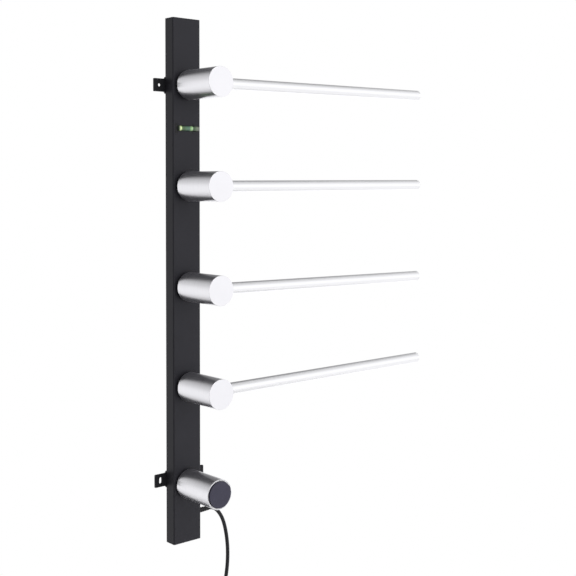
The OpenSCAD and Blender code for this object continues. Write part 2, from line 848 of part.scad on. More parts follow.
column_channel();
back_plate();
top_cap();
bottom_cap();
upper_bracket();
lower_bracket();
back_screws();
stop_pins();
vial_clips();
vial_tube();
vial_bubble();
switch_neck();
switch_housing();
button_bezel();
switch_carrier();
switch_body();
switch_plunger();
push_button();
button_clip();
button_spring();
control_board();
thermal_cutout();
terminal_block();
earth_stud();
heater_harness();
switch_harness();
mains_harness();
strain_relief();
cord();
cord_hank();
cord_tail();
cord_tie();
plug();
plug_pins();
for (i = ARMS) {
    spigot(i);
    hub(i);
    bar(i);
    bar_tip(i);
    heater(i);
    hub_fixings(i);
}
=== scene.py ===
# %% [markdown]
# # A towel warmer for a bathroom wall
# A slim black column hangs on two brackets. Four bright bars stand out from it on round hubs, a
# fifth round housing holds the switch, and a little green level in the face shows when the column
# is upright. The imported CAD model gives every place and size, so this script only adds the looks:
# it reads where each piece is, builds a finer piece round that place, and lets it ride on a body.

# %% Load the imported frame
import json
import math

import bmesh
import bpy
from mathutils import Matrix, Vector

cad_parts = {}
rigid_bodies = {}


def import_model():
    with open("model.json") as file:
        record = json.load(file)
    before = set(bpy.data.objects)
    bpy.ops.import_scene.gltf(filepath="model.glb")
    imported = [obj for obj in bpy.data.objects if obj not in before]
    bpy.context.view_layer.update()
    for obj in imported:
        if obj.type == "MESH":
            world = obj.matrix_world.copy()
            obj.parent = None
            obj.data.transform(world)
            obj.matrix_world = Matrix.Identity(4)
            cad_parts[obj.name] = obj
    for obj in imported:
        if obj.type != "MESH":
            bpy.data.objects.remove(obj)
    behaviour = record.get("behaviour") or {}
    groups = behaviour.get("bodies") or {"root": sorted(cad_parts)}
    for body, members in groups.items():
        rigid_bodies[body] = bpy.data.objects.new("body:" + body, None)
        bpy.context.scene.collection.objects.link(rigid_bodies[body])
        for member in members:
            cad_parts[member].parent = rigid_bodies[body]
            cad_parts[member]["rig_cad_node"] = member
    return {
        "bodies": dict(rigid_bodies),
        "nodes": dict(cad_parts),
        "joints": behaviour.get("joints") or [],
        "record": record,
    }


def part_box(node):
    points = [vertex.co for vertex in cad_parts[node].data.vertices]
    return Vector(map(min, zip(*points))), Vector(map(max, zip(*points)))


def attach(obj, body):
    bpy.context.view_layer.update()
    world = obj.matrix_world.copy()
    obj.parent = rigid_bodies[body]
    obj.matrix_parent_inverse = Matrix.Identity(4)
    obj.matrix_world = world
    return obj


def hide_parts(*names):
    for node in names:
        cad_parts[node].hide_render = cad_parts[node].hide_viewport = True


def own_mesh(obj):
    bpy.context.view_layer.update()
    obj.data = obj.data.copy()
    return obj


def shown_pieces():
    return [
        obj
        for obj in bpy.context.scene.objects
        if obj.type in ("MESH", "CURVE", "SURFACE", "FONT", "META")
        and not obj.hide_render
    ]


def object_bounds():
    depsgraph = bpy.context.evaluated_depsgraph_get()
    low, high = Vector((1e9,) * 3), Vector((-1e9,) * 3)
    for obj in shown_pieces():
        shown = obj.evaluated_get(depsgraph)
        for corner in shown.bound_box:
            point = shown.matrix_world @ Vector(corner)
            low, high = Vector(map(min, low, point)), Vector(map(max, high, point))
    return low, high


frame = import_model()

cad_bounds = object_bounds()
arms = sorted(name for name in frame["bodies"] if name.startswith("arm_"))

# %% [markdown]
# ## The camera
# The object is looked at from the left, level with its second bar. A camera that stays nearly level
# keeps the column's edges upright in the picture, so the view is lowered mostly by shifting the
# lens, as an architect's camera does, and is tipped by only two degrees.

# %% Place the camera
CAMERA_AT = (-1.0407, -1.4731, -0.1608)
CAMERA_TURN = [math.radians(degrees) for degrees in (87.93, -0.08, -41.22)]
CAMERA_LENS = 65.55
CAMERA_DROP = -0.12

camera_data = bpy.data.cameras.new("camera")
camera_data.lens = CAMERA_LENS
camera_data.shift_y = CAMERA_DROP
camera = bpy.data.objects.new("camera", camera_data)
camera.location = CAMERA_AT
camera.rotation_euler = CAMERA_TURN
bpy.context.scene.collection.objects.link(camera)
bpy.context.scene.camera = camera
print("camera at", CAMERA_AT)

# %% [markdown]
# ## Node trees in plain words
# Materials and Geometry Nodes are both trees of nodes. Two small classes keep them readable: `Nodes`
# adds any node from its type, its settings and its sockets, and a `Wire` is one output, which can be
# used in a sum, so `1 - mask * 0.3` adds the Math nodes that work it out.

# %% A class for wires and one for trees
class Wire:
    """One output socket. A sum with it adds a Math node."""

    def __init__(self, nodes, socket):
        self.nodes = nodes
        self.socket = socket

    def math(self, operation, first, second):
        return self.nodes.add("ShaderNodeMath", {"operation": operation}, {0: first, 1: second})

    def __add__(self, other):
        return self.math("ADD", self, other)

    def __sub__(self, other):
        return self.math("SUBTRACT", self, other)

    def __rsub__(self, other):
        return self.math("SUBTRACT", other, self)

    def __mul__(self, other):
        return self.math("MULTIPLY", self, other)

    def __truediv__(self, other):
        return self.math("DIVIDE", self, other)

    def __pow__(self, other):
        return self.math("POWER", self, other)

    __radd__ = __add__
    __rmul__ = __mul__


class Nodes:
    """A node tree, with one method that adds a node."""

    def __init__(self, tree):
        self.tree = tree

    def feed(self, socket, value):
        if isinstance(value, Wire):
            self.tree.links.new(value.socket, socket)
        else:
            socket.default_value = value

    def add(self, kind, settings=None, sockets=None, output=0):
        node = self.tree.nodes.new(kind)
        for name, value in (settings or {}).items():
            if name == "stops":
                for _ in value[2:]:
                    node.color_ramp.elements.new(0.5)
                for stop, (place, colour) in zip(node.color_ramp.elements, value):
                    stop.position = place
                    stop.color = (*colour, 1)
            else:
                setattr(node, name, value)
        for name, value in (sockets or {}).items():
            self.feed(node.inputs[name], value)
        return Wire(self, node.outputs[output])

    def unary(self, operation, wire):
        return self.add("ShaderNodeMath", {"operation": operation}, {0: wire})

    def mixed(self, share, first, second):
        """The colour that lies between two colours, by the share of the second."""
        return self.add("ShaderNodeMix", {"data_type": "RGBA"}, {0: share, 6: first, 7: second}, output=2)


print("helpers ready")

# %% [markdown]
# ## Finishes
# Every finish starts from the same recipe: a Principled shader whose constants are set on its own
# sockets, and noise that changes colour, roughness and a little bump over the surface. The noise
# reads Object coordinates, which are metres here, so a scale of 800 gives grain about a millimetre
# across. Stretching the noise along one direction turns grain into the lines that a brush or a
# lathe leaves.

# %% The recipe for a finish
finishes = {}


class Finish(Nodes):
    """A material for one slot of the record, with its Principled shader."""

    def __init__(self, name, colour, roughness, metallic=0.0, constants=None):
        self.material = bpy.data.materials.new(name)
        self.material.use_nodes = True
        self.material.diffuse_color = (*colour, 1)
        super().__init__(self.material.node_tree)
        self.shader = self.tree.nodes["Principled BSDF"]
        self.colour = colour
        self.set("Base Color", (*colour, 1))
        self.set("Roughness", roughness)
        self.set("Metallic", metallic)
        for socket, value in (constants or {}).items():
            self.set(socket, value)
        finishes[name] = self.material

    def set(self, socket, value):
        self.feed(self.shader.inputs[socket], value)

    def noise(self, scale, stretch=(1, 1, 1), detail=3):
        """Noise from 0 to 1 over the piece's own coordinates."""
        place = self.add("ShaderNodeTexCoord", output=3)
        mapped = self.add("ShaderNodeMapping", None, {"Vector": place, "Scale": stretch})
        return self.add("ShaderNodeTexNoise", None,
                        {"Vector": mapped, "Scale": scale, "Detail": detail})

    def shade(self, mask, dark, light):
        """Base colour from dark to light times the finish's colour, by the mask."""
        darker = (*(dark * c for c in self.colour), 1)
        lighter = (*(light * c for c in self.colour), 1)
        self.set("Base Color", self.mixed(mask, darker, lighter))

    def bump(self, height, strength, distance):
        self.set("Normal", self.add("ShaderNodeBump", None,
                 {"Height": height, "Strength": strength, "Distance": distance}))


print("recipe ready")

# %% [markdown]
# ### Paint
# The column is powder coated: a matt charcoal skin with a very fine orange peel and faint clouds
# where the coat is thicker. The brackets and necks are blacker and a little smoother. The necks'
# black is partly their own colour and partly painted shade for the gap behind each hub.

# %% Painted metal
def powder_coat(name, colour, roughness):
    paint = Finish(name, colour, roughness, constants={"Specular IOR Level": 0.17})
    clouds = paint.noise(28, detail=4)
    peel = paint.noise(1500, detail=2)
    paint.shade(clouds, 0.86, 1.16)
    paint.set("Roughness", roughness - 0.06 + clouds * 0.08 + peel * 0.05)
    paint.bump(peel, 0.25, 0.0002)


powder_coat("column_paint", (0.023, 0.0225, 0.0275), 0.46)
powder_coat("bracket_paint", (0.010, 0.010, 0.012), 0.45)
# The necks' near-black is partly their colour and partly painted shade in the gap behind the hubs.
powder_coat("neck_black", (0.008, 0.008, 0.010), 0.4)
print("paints:", list(finishes))

# %% [markdown]
# ### Aluminium
# The hubs are turned on a lathe, so their lines run round them: noise that changes fast along Y and
# hardly at all round the hub. The bars are drawn through a die and brushed lengthwise, so theirs run
# along X. Both are satin anodised, which the roughness gives.

# %% Turned and drawn aluminium
def aluminium(name, stretch, roughness, colour=(0.80, 0.80, 0.82), lines=0.10):
    metal = Finish(name, colour, roughness, metallic=1.0)
    fine = metal.noise(900, stretch, detail=2)
    broad = metal.noise(160, stretch, detail=2)
    grain = fine * 0.6 + broad * 0.4
    metal.shade(grain, 0.94, 1.05)
    metal.set("Roughness", roughness - lines / 2 + grain * lines)
    metal.bump(fine, 0.12, 0.00005)


aluminium("satin_turned", (0.02, 1, 0.02), 0.29, (0.80, 0.795, 0.815))
aluminium("satin_drawn", (0.01, 1, 1), 0.24, (0.88, 0.88, 0.89))
aluminium("bright_rim", (0.02, 1, 0.02), 0.14, (0.88, 0.88, 0.89), 0.04)
print("metals ready")

# %% [markdown]
# ### Plastics, rubber and small metal
# The button is a smooth blue-black moulding, the lead a matt flexible sheath, and the pieces inside
# have the finishes they come with: zinc, brass, green board, white mouldings and silicone leads.

# %% Plain finishes with a little grain
def grained(name, colour, roughness, grain=700, depth=0.00005, metallic=0.0, constants=None):
    finish = Finish(name, colour, roughness, metallic, constants)
    fine = finish.noise(grain, detail=2)
    patches = finish.noise(60, detail=3)
    finish.shade(patches, 0.88, 1.12)
    finish.set("Roughness", roughness - 0.05 + patches * 0.06 + fine * 0.04)
    finish.bump(fine, 0.15, depth)


DULL = {"Specular IOR Level": 0.25}
grained("button_face", (0.042, 0.040, 0.064), 0.36, grain=2200, constants=DULL)
grained("black_plastic", (0.009, 0.009, 0.010), 0.42, constants=DULL)
grained("cord_black", (0.012, 0.012, 0.014), 0.5, grain=1200, constants=DULL)
grained("white_plastic", (0.80, 0.79, 0.74), 0.45)
grained("lead_insulation", (0.62, 0.52, 0.42), 0.5, grain=300)
grained("circuit_board", (0.02, 0.16, 0.06), 0.38, grain=240)
grained("steel", (0.58, 0.58, 0.60), 0.3, metallic=1.0)
grained("brass", (0.72, 0.56, 0.26), 0.28, metallic=1.0)
print("finishes:", len(finishes))

# %% [markdown]
# ### The level's green acrylic
# The real tube is acrylic filled with a green liquid. Light gathers where the liquid ends and round
# the bubble, and the rest of it stays deep green. Such a small tube needs no true glass here: it is
# solid, and a ramp of stops along X paints those lights on it as painted highlights, with painted
# shade beside them, bubble and all. The tube is also painted darker towards its top and bottom
# edges, a painted shade, and it gives off a little of the same colour, a painted glow.

# %% Green acrylic with painted light, and the bubble
ACRYLIC_ROUGHNESS = 0.10
# The emission is a painted glow, for the tube is no lamp; the coat is the acrylic's own gloss.
ACRYLIC_PAINTED_GLOW = {"Emission Strength": 0.5, "Coat Weight": 0.4}
WOBBLE = 0.0025
# How much darker the tube is painted towards its top and bottom edges: painted shade.
EDGE_SHADE = 0.85
DEEP = (0.030, 0.070, 0.024)
vial_low, vial_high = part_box("vial_tube")


def acrylic(name, stops):
    """A finish that runs through the stops along the tube, their painted highlights and shade, and is painted
    darker towards its top and bottom edges, with a painted glow of the same colour.
    """
    green = Finish(name, stops[0][1], ACRYLIC_ROUGHNESS, constants=ACRYLIC_PAINTED_GLOW)
    place = green.add("ShaderNodeTexCoord", output=3)
    along = green.add("ShaderNodeSeparateXYZ", None, {0: place})
    wobble = green.noise(300, (1, 3, 3), detail=2)
    share = (along + (wobble - 0.5) * WOBBLE - vial_low.x) / (vial_high.x - vial_low.x)
    # The ramp's stops paint light and shade along the tube: painted highlights and painted shade.
    painted_lights = green.add("ShaderNodeValToRGB", {"stops": stops}, {0: share})
    height = green.add("ShaderNodeSeparateXYZ", None, {0: place}, output=2)
    off = (height - (vial_high.z + vial_low.z) / 2) / ((vial_high.z - vial_low.z) / 2)
    shown = green.add("ShaderNodeVectorMath", {"operation": "SCALE"},
                      {0: painted_lights, "Scale": 1 - off * off * EDGE_SHADE})
    # The painted light and shade is the base colour, and also the colour of the painted glow.
    green.set("Base Color", shown)
    green.set("Emission Color", shown)


# The light stops paint highlights at the liquid's left end and at the bubble's right end, and the darkest
# stops beside them paint shade.
acrylic("vial_green", [
    (0.0, (0.02, 0.03, 0.02)), (0.04, (0.10, 0.14, 0.06)), (0.075, (0.66, 0.76, 0.40)),
    (0.11, (0.52, 0.68, 0.28)), (0.15, (0.07, 0.13, 0.04)), (0.22, DEEP), (0.38, (0.045, 0.12, 0.06)),
    (0.50, (0.05, 0.11, 0.08)), (0.58, (0.18, 0.34, 0.12)), (0.63, (0.30, 0.48, 0.24)),
    (0.69, (0.008, 0.02, 0.008)), (0.75, DEEP), (0.88, (0.11, 0.13, 0.09)), (1.0, (0.07, 0.08, 0.06))])
# The bubble is painted lighter at both ends, painted highlights, and glows like the tube, a painted glow.
acrylic("bubble", [(0.0, (0.3, 0.5, 0.3)), (0.45, (0.10, 0.20, 0.14)), (0.55, (0.3, 0.5, 0.3))])
print("finishes:", len(finishes))

# %% [markdown]
# ## The mains lead
# A lead is a fixed length of something flexible. It leaves the column's right side through a
# tapered sleeve, bends down under its own weight, and what is not in use is folded into a tied
# hank, with the plug hanging from it. One smooth curve carries the whole length: a route given
# point by point where it hangs free, and a loop that lays the hank's runs side by side, a diameter apart.

# %% Give a new piece its body and its slot's finish
MM = 0.001


def keep(piece, body, slot, *nodes, finish=None):
    """A finished piece: it rides on a body, stands for CAD nodes and has its slot's finish."""
    if piece.name not in bpy.context.scene.collection.objects:
        bpy.context.scene.collection.objects.link(piece)
    piece.data.materials.clear()
    piece.data.materials.append(finishes[finish or slot])
    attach(piece, body)
    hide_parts(*nodes)
    return piece


print("a piece is kept with keep()")

# %% The lead's route
LEAD_D = 6.5 * MM
LEAD_ROUTE = [
    (52, -14.5, -733), (58, -14.5, -733), (64, -14.5, -735), (70, -14.5, -739),
    (76, -14.5, -745.5), (82, -14.5, -754.5), (87, -14.5, -766), (91, -14.5, -781),
    (94, -14.5, -798), (95.5, -14.5, -815), (95.5, -14.5, -832), (94.5, -14, -849),
    (93, -13, -864), (91, -11.2, -878), (89.5, -9.4, -892)
]
TAIL_ROUTE = [(89.5, -28.8, -1016), (89.5, -28.8, -1030), (89, -28.6, -1042), (88, -28.2, -1054)]


RUN_STEPS = 6
FOLD_STEPS = 8


def hank_runs(low, high):
    """Points down the right of the hank and up its left, each run half a diameter further out."""
    fold = (high.x - low.x - LEAD_D) / 2
    top = high.z - fold - LEAD_D / 2
    bottom = low.z + fold + LEAD_D / 2
    runs = 2 * round((high.y - low.y) / LEAD_D) - 1
    points = []
    for run in range(runs):
        side = 1 if run % 2 == 0 else -1
        y = high.y - LEAD_D / 2 * (run + 1)
        start, end = (top, bottom) if side > 0 else (bottom, top)
        for k in range(RUN_STEPS + 1):
            points.append(((low.x + high.x) / 2 + side * fold, y, start + (end - start) * k / RUN_STEPS))
        for k in range(1, FOLD_STEPS) if run < runs - 1 else []:
            turn = math.pi * k / FOLD_STEPS
            points.append(((low.x + high.x) / 2 + side * fold * math.cos(turn),
                           y - LEAD_D / (2 * FOLD_STEPS) * k, end - side * fold * math.sin(turn)))
    return points


route = [tuple(MM * c for c in point) for point in LEAD_ROUTE]
tail = [tuple(MM * c for c in point) for point in TAIL_ROUTE]
lead_points = route + hank_runs(*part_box("cord_hank")) + tail
print("points along the lead:", len(lead_points))

# %% Draw the lead as one curve
lead_curve = bpy.data.curves.new("mains_lead", "CURVE")
lead_curve.dimensions = "3D"
lead_curve.bevel_depth = LEAD_D / 2
lead_curve.bevel_resolution = 5
spline = lead_curve.splines.new("NURBS")
spline.points.add(len(lead_points) - 1)
for point, place in zip(spline.points, lead_points):
    point.co = (*place, 1)
spline.order_u = 4
spline.use_endpoint_u = True
spline.resolution_u = 4
mains_lead = keep(bpy.data.objects.new("mains_lead", lead_curve), "column", "cord_black",
                  "cord", "cord_hank", "cord_tail")
long = sum((Vector(a) - Vector(b)).length for a, b in zip(lead_points, lead_points[1:]))
print(f"lead: {long:.3f} m along its points")

# %% [markdown]
# ## A tree for turned parts
# Hubs, bars, rims and caps are all round bars with a small rounded edge at each end. One Geometry
# Nodes tree makes them. A straight line of points runs down the axis, and a formula gives each point
# its place and its radius: the first few points climb a quarter circle at the back edge, the last
# few come down one at the front. Sweeping a circle along that line makes the solid. A bore is cut by
# a second, thinner bar that starts a little outside the end, so that no thin skin is left over it.

# %% Build the turned tree
EDGE_STEPS = 5
OVERSHOOT = 0.002


def new_tree(name, inputs):
    """An empty Geometry Nodes tree with named inputs, and its wires by name."""
    tree = bpy.data.node_groups.new(name, "GeometryNodeTree")
    tree.interface.new_socket("Geometry", in_out="OUTPUT", socket_type="NodeSocketGeometry")
    for label, (kind, value) in inputs.items():
        socket = tree.interface.new_socket(label, in_out="INPUT", socket_type="NodeSocket" + kind)
        if value is not None:
            socket.default_value = value
    nodes = Nodes(tree)
    source = tree.nodes.new("NodeGroupInput")
    wires = {label: Wire(nodes, source.outputs[label]) for label in inputs}
    return nodes, wires


def end_tree(nodes, geometry, material):
    """Every tree ends in real geometry with its material on it."""
    real = nodes.add("GeometryNodeRealizeInstances", None, {"Geometry": geometry})
    done = nodes.add("GeometryNodeSetMaterial", None, {"Geometry": real, "Material": material})
    sink = nodes.tree.nodes.new("NodeGroupOutput")
    nodes.tree.links.new(done.socket, sink.inputs[0])
    return nodes.tree


def turned_solid(nodes, diameter, length, edge, sides):
    """A round bar along Z with a rounded edge at each end, from 0 to length."""
    line = nodes.add("GeometryNodeCurvePrimitiveLine")
    line = nodes.add("GeometryNodeResampleCurve", None, {"Curve": line, "Count": 2 * EDGE_STEPS + 2})
    index = nodes.add("GeometryNodeInputIndex")
    in_front = index.math("GREATER_THAN", index, EDGE_STEPS + 0.5)
    step = index.math("MINIMUM", index, 2 * EDGE_STEPS + 1 - index)
    angle = step * (math.pi / 2 / EDGE_STEPS)
    inset = edge * (1 - nodes.unary("COSINE", angle))
    place = in_front * length + (1 - in_front * 2) * inset
    radius = diameter / 2 - edge * (1 - nodes.unary("SINE", angle))
    position = nodes.add("ShaderNodeCombineXYZ", None, {"Z": place})
    line = nodes.add("GeometryNodeSetPosition", None, {"Geometry": line, "Position": position})
    circle = nodes.add("GeometryNodeCurvePrimitiveCircle", None, {"Resolution": sides, "Radius": 1.0})
    return nodes.add("GeometryNodeCurveToMesh", None,
                     {"Curve": line, "Profile Curve": circle, "Scale": radius, "Fill Caps": True})


def turned_tree():
    nodes, wire = new_tree("turned_part", {
        "Diameter": ("Float", 0.05), "Length": ("Float", 0.1), "Edge": ("Float", 0.0005),
        "Bore": ("Float", 0.0), "Depth": ("Float", 0.0), "Sides": ("Int", 96), "Finish": ("Material", None)})
    body = turned_solid(nodes, wire["Diameter"], wire["Length"], wire["Edge"], wire["Sides"])
    drill = turned_solid(nodes, wire["Bore"], wire["Depth"] + OVERSHOOT, 0.0, wire["Sides"])
    drill = nodes.add("GeometryNodeTransform", None,
                      {"Geometry": drill, "Translation": (0, 0, -OVERSHOOT)})
    drilled = nodes.add("GeometryNodeMeshBoolean", {"operation": "DIFFERENCE"},
                        {"Mesh 1": body, "Mesh 2": drill})
    has_bore = wire["Bore"].math("GREATER_THAN", wire["Bore"], 0.0)
    chosen = nodes.add("GeometryNodeSwitch", {"input_type": "GEOMETRY"},
                       {"Switch": has_bore, "False": body, "True": drilled})
    return end_tree(nodes, chosen, wire["Finish"])


TURNED = turned_tree()
print("turned tree:", len(TURNED.nodes), "nodes")

# %% [markdown]
# A tree runs as a modifier. `grow` sets the modifier's inputs by their sockets' identifiers, takes
# the plain mesh that comes out, smooths it with sharp edges kept, and moves it to its place, so the
# object itself stays at the origin.

# %% Turn a tree's result into a plain mesh
def smoothed(mesh, angle=30):
    """Smooth shading that keeps flat faces flat and sharp edges sharp."""
    mesh.shade_smooth()
    mesh.set_sharp_from_angle(angle=math.radians(angle))
    piece = bpy.data.objects.new("draft", mesh)
    bpy.context.scene.collection.objects.link(piece)
    weighted = piece.modifiers.new("weighted", "WEIGHTED_NORMAL")
    weighted.keep_sharp = True
    return baked_mesh(piece)


def baked_mesh(piece):
    """The plain mesh of a draft object with its modifiers applied. The draft is removed."""
    bpy.context.view_layer.update()
    graph = bpy.context.evaluated_depsgraph_get()
    mesh = bpy.data.meshes.new_from_object(piece.evaluated_get(graph), depsgraph=graph)
    bpy.data.objects.remove(piece)
    return mesh


def grow(tree, place, **inputs):
    """The mesh that a tree makes with these inputs, moved by the matrix."""
    piece = bpy.data.objects.new("draft", bpy.data.meshes.new("draft"))
    bpy.context.scene.collection.objects.link(piece)
    modifier = piece.modifiers.new("tree", "NODES")
    modifier.node_group = tree
    for socket in tree.interface.items_tree:
        if socket.in_out == "INPUT" and socket.name.replace(" ", "_").lower() in inputs:
            modifier[socket.identifier] = inputs[socket.name.replace(" ", "_").lower()]
    mesh = smoothed(baked_mesh(piece))
    mesh.transform(place)
    return mesh


def joined(*meshes):
    """Several meshes as one."""
    whole = bmesh.new()
    for mesh in meshes:
        whole.from_mesh(mesh)
    made = bpy.data.meshes.new("joined")
    whole.to_mesh(made)
    whole.free()
    return smoothed(made)


def piece_of(name, mesh, body, slot, *nodes, finish=None):
    mesh.name = name
    return keep(bpy.data.objects.new(name, mesh), body, slot, *nodes, finish=finish)


TO_FRONT = Matrix.Rotation(math.radians(90), 4, "X")
TO_RIGHT = Matrix.Rotation(math.radians(90), 4, "Y")
print("a part grows along Z, and is turned to the front or to the right")

# %% [markdown]
# ## Hubs and bars
# Each arm is a hub, a bar and the cap in the bar's tip, on a body of its own, because the arm can be
# levelled. The record's joint tells how far it may turn each way, and the middle of that range
# against its rest place is the angle that the arm is set at. The hub's bore for the journal, the
# cross bore for the bar and the screw hole below are drilled in the tree.

# %% Sizes from the frame
def middle(low, high):
    return (low + high) / 2


hub_low, hub_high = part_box("hub_2")
bar_low, bar_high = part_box("bar_2")
tip_low, tip_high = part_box("bar_tip_2")
HUB_D = round(hub_high.x - hub_low.x, 4)
BAR_D = round(bar_high.y - bar_low.y, 4)
BAR_Y = middle(bar_low.y, bar_high.y)
BAR_WALL = 1.5 * MM
TIP_T = round(tip_high.x, 4) - round(bar_high.x, 4)
JOURNAL_D = 24 * MM
JOURNAL_DEPTH = 41 * MM
SCREW_HOLE_D = 6 * MM
SCREW_HOLE_AT = 16 * MM
SLIP = 0.1 * MM
BAR_THROUGH = 0.6
print(f"hub {HUB_D:.4f} m, bar {BAR_D:.4f} m, tip {TIP_T:.4f} m")


# %% A tree for the hubs
CROSS_BORE_FROM = -0.009
CROSS_BORE_LONG = 0.05
SCREW_HOLE_LONG = 0.03


def hub_tree():
    nodes, wire = new_tree("hub", {
        "Diameter": ("Float", 0.05), "Length": ("Float", 0.088), "Edge": ("Float", 0.0006),
        "Journal": ("Float", 0.0241), "Journal Depth": ("Float", 0.041), "Bar": ("Float", 0.0193),
        "Bar Place": ("Float", 0.057), "Screw": ("Float", 0.006), "Screw Place": ("Float", 0.016),
        "Finish": ("Material", None)})
    body = turned_solid(nodes, wire["Diameter"], wire["Length"], wire["Edge"], 128)
    drills = [
        (wire["Journal"], wire["Journal Depth"] + OVERSHOOT, (0, 0, -OVERSHOOT), (0, 0, 0)),
        (wire["Bar"], CROSS_BORE_LONG, (CROSS_BORE_FROM, 0, wire["Bar Place"]), (0, math.pi / 2, 0)),
        (wire["Screw"], SCREW_HOLE_LONG, (0, 0, wire["Screw Place"]), (math.pi / 2, 0, 0))]
    for diameter, length, place, turn in drills:
        if isinstance(place[2], Wire):
            place = nodes.add("ShaderNodeCombineXYZ", None, dict(zip("XYZ", place)))
        drill = turned_solid(nodes, diameter, length, 0.0, 96)
        drill = nodes.add("GeometryNodeTransform", None,
                          {"Geometry": drill, "Translation": place, "Rotation": turn})
        body = nodes.add("GeometryNodeMeshBoolean", {"operation": "DIFFERENCE"},
                         {"Mesh 1": body, "Mesh 2": drill})
    return end_tree(nodes, body, wire["Finish"])


HUB = hub_tree()
print("hub tree:", len(HUB.nodes), "nodes")

# %% Grow the four arms
arm_joints = {joint["child"]: joint for joint in frame["joints"]}
for arm in arms:
    number = arm[-1]
    low, high = arm_joints[arm]["range_deg"]
    height = arm_joints[arm]["pos_m"][2]
    angle = -(low + high) / 2
    stand = Matrix.Translation((0, 0, height)) @ Matrix.Rotation(math.radians(-angle), 4, "Y")
    at_hub = stand @ Matrix.Translation((0, hub_high.y, 0)) @ TO_FRONT
    at_bar = stand @ Matrix.Translation((round(bar_low.x, 4), BAR_Y, 0)) @ TO_RIGHT
    at_tip = stand @ Matrix.Translation((round(bar_high.x, 4), BAR_Y, 0)) @ TO_RIGHT
    plug_long = round(bar_high.x - tip_low.x, 4)
    hub = grow(HUB, at_hub, diameter=HUB_D, length=hub_high.y - hub_low.y, edge=0.5 * MM,
               journal=JOURNAL_D + SLIP, journal_depth=JOURNAL_DEPTH, bar=BAR_D + SLIP,
               bar_place=hub_high.y - BAR_Y, screw=SCREW_HOLE_D, screw_place=SCREW_HOLE_AT)
    piece_of(f"hub_shell_{number}", hub, arm, "satin_aluminium", f"hub_{number}", finish="satin_turned")
    tube = grow(TURNED, at_bar, diameter=BAR_D, length=round(bar_high.x - bar_low.x, 4), edge=0.15 * MM,
                bore=BAR_D - 2 * BAR_WALL, depth=BAR_THROUGH, sides=72)
    piece_of(f"bar_tube_{number}", tube, arm, "satin_aluminium", f"bar_{number}", finish="satin_drawn")
    cap = grow(TURNED, at_tip, diameter=BAR_D, length=TIP_T, edge=0.6 * MM, sides=72)
    stub = grow(TURNED, at_tip @ Matrix.Translation((0, 0, -plug_long)),
                diameter=BAR_D - 2 * BAR_WALL - SLIP, length=plug_long + 1 * MM, edge=0.5 * MM, sides=48)
    piece_of(f"bar_end_{number}", joined(cap, stub), arm, "satin_aluminium", f"bar_tip_{number}",
             finish="satin_drawn")
    print(arm, "set at", round(angle, 2), "degrees,", len(hub.vertices), "points in its hub")

# %% [markdown]
# ## The switch
# The lowest housing is a tube with a bright rim let into its mouth. The button fills the rim with a
# gap all round, its face a little in front of the rim, and slides back with its stem and clip when
# pressed.

# %% Housing, rim and button
house_low, house_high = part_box("switch_housing")
rim_low, rim_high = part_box("button_bezel")
cap_low, cap_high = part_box("push_button")
switch_z = middle(house_low.z, house_high.z)
RIM_IN = 45.2 * MM
HOUSE_IN = 46 * MM
BUTTON_T = 8.2 * MM
STEM_D = 8 * MM
HOUSE_THROUGH = 0.2


def facing(y):
    """A place on the switch's axis, with Z turned to the front."""
    return Matrix.Translation((0, y, switch_z)) @ TO_FRONT


house = grow(TURNED, facing(house_high.y), diameter=house_high.x - house_low.x,
             length=house_high.y - house_low.y, edge=0.35 * MM, bore=HOUSE_IN, depth=HOUSE_THROUGH, sides=128)
piece_of("switch_shell", house, "column", "satin_aluminium", "switch_housing", finish="satin_turned")
rim = grow(TURNED, facing(rim_high.y), diameter=rim_high.x - rim_low.x, length=rim_high.y - rim_low.y,
           edge=0.4 * MM, bore=RIM_IN, depth=HOUSE_THROUGH, sides=128)
piece_of("switch_rim", rim, "column", "bright_rim", "button_bezel")
button_d = cap_high.x - cap_low.x
face = grow(TURNED, facing(cap_low.y + BUTTON_T), diameter=button_d, length=BUTTON_T, edge=0.5 * MM, sides=96)
stem = grow(TURNED, facing(cap_high.y), diameter=STEM_D, length=cap_high.y - cap_low.y - 1 * MM,
            edge=0.3 * MM, sides=48)
piece_of("button_cap", joined(face, stem), "button", "button_face", "push_button")
print("button", round(button_d * 1000, 1), "mm across")

# %% [markdown]
# The button is pushed back out by a coil spring of round wire. A spiral that doesn't widen is a
# coil, and sweeping a circle along it gives the wire. The spring can't follow the button, because
# its rear end stands still; the button's travel squashes it towards that end, but here it rides
# unchanged on the column, with a mesh of its own.

# %% Wind the return spring
def spring_tree():
    """A coil of round wire that stands on its first turn and climbs along Z."""
    nodes, wire = new_tree("coil_spring", {
        "Coil": ("Float", 0.012), "Wire": ("Float", 0.001), "Length": ("Float", 0.01),
        "Turns": ("Float", 5.0), "Finish": ("Material", None)})
    radius = wire["Coil"] / 2
    coil = nodes.add("GeometryNodeCurveSpiral", None, {
        "Resolution": 40, "Rotations": wire["Turns"], "Start Radius": radius, "End Radius": radius,
        "Height": wire["Length"]})
    circle = nodes.add("GeometryNodeCurvePrimitiveCircle", None, {"Resolution": 12, "Radius": 1.0})
    wound = nodes.add("GeometryNodeCurveToMesh", None, {
        "Curve": coil, "Profile Curve": circle, "Scale": wire["Wire"] / 2, "Fill Caps": True})
    return end_tree(nodes, wound, wire["Finish"])


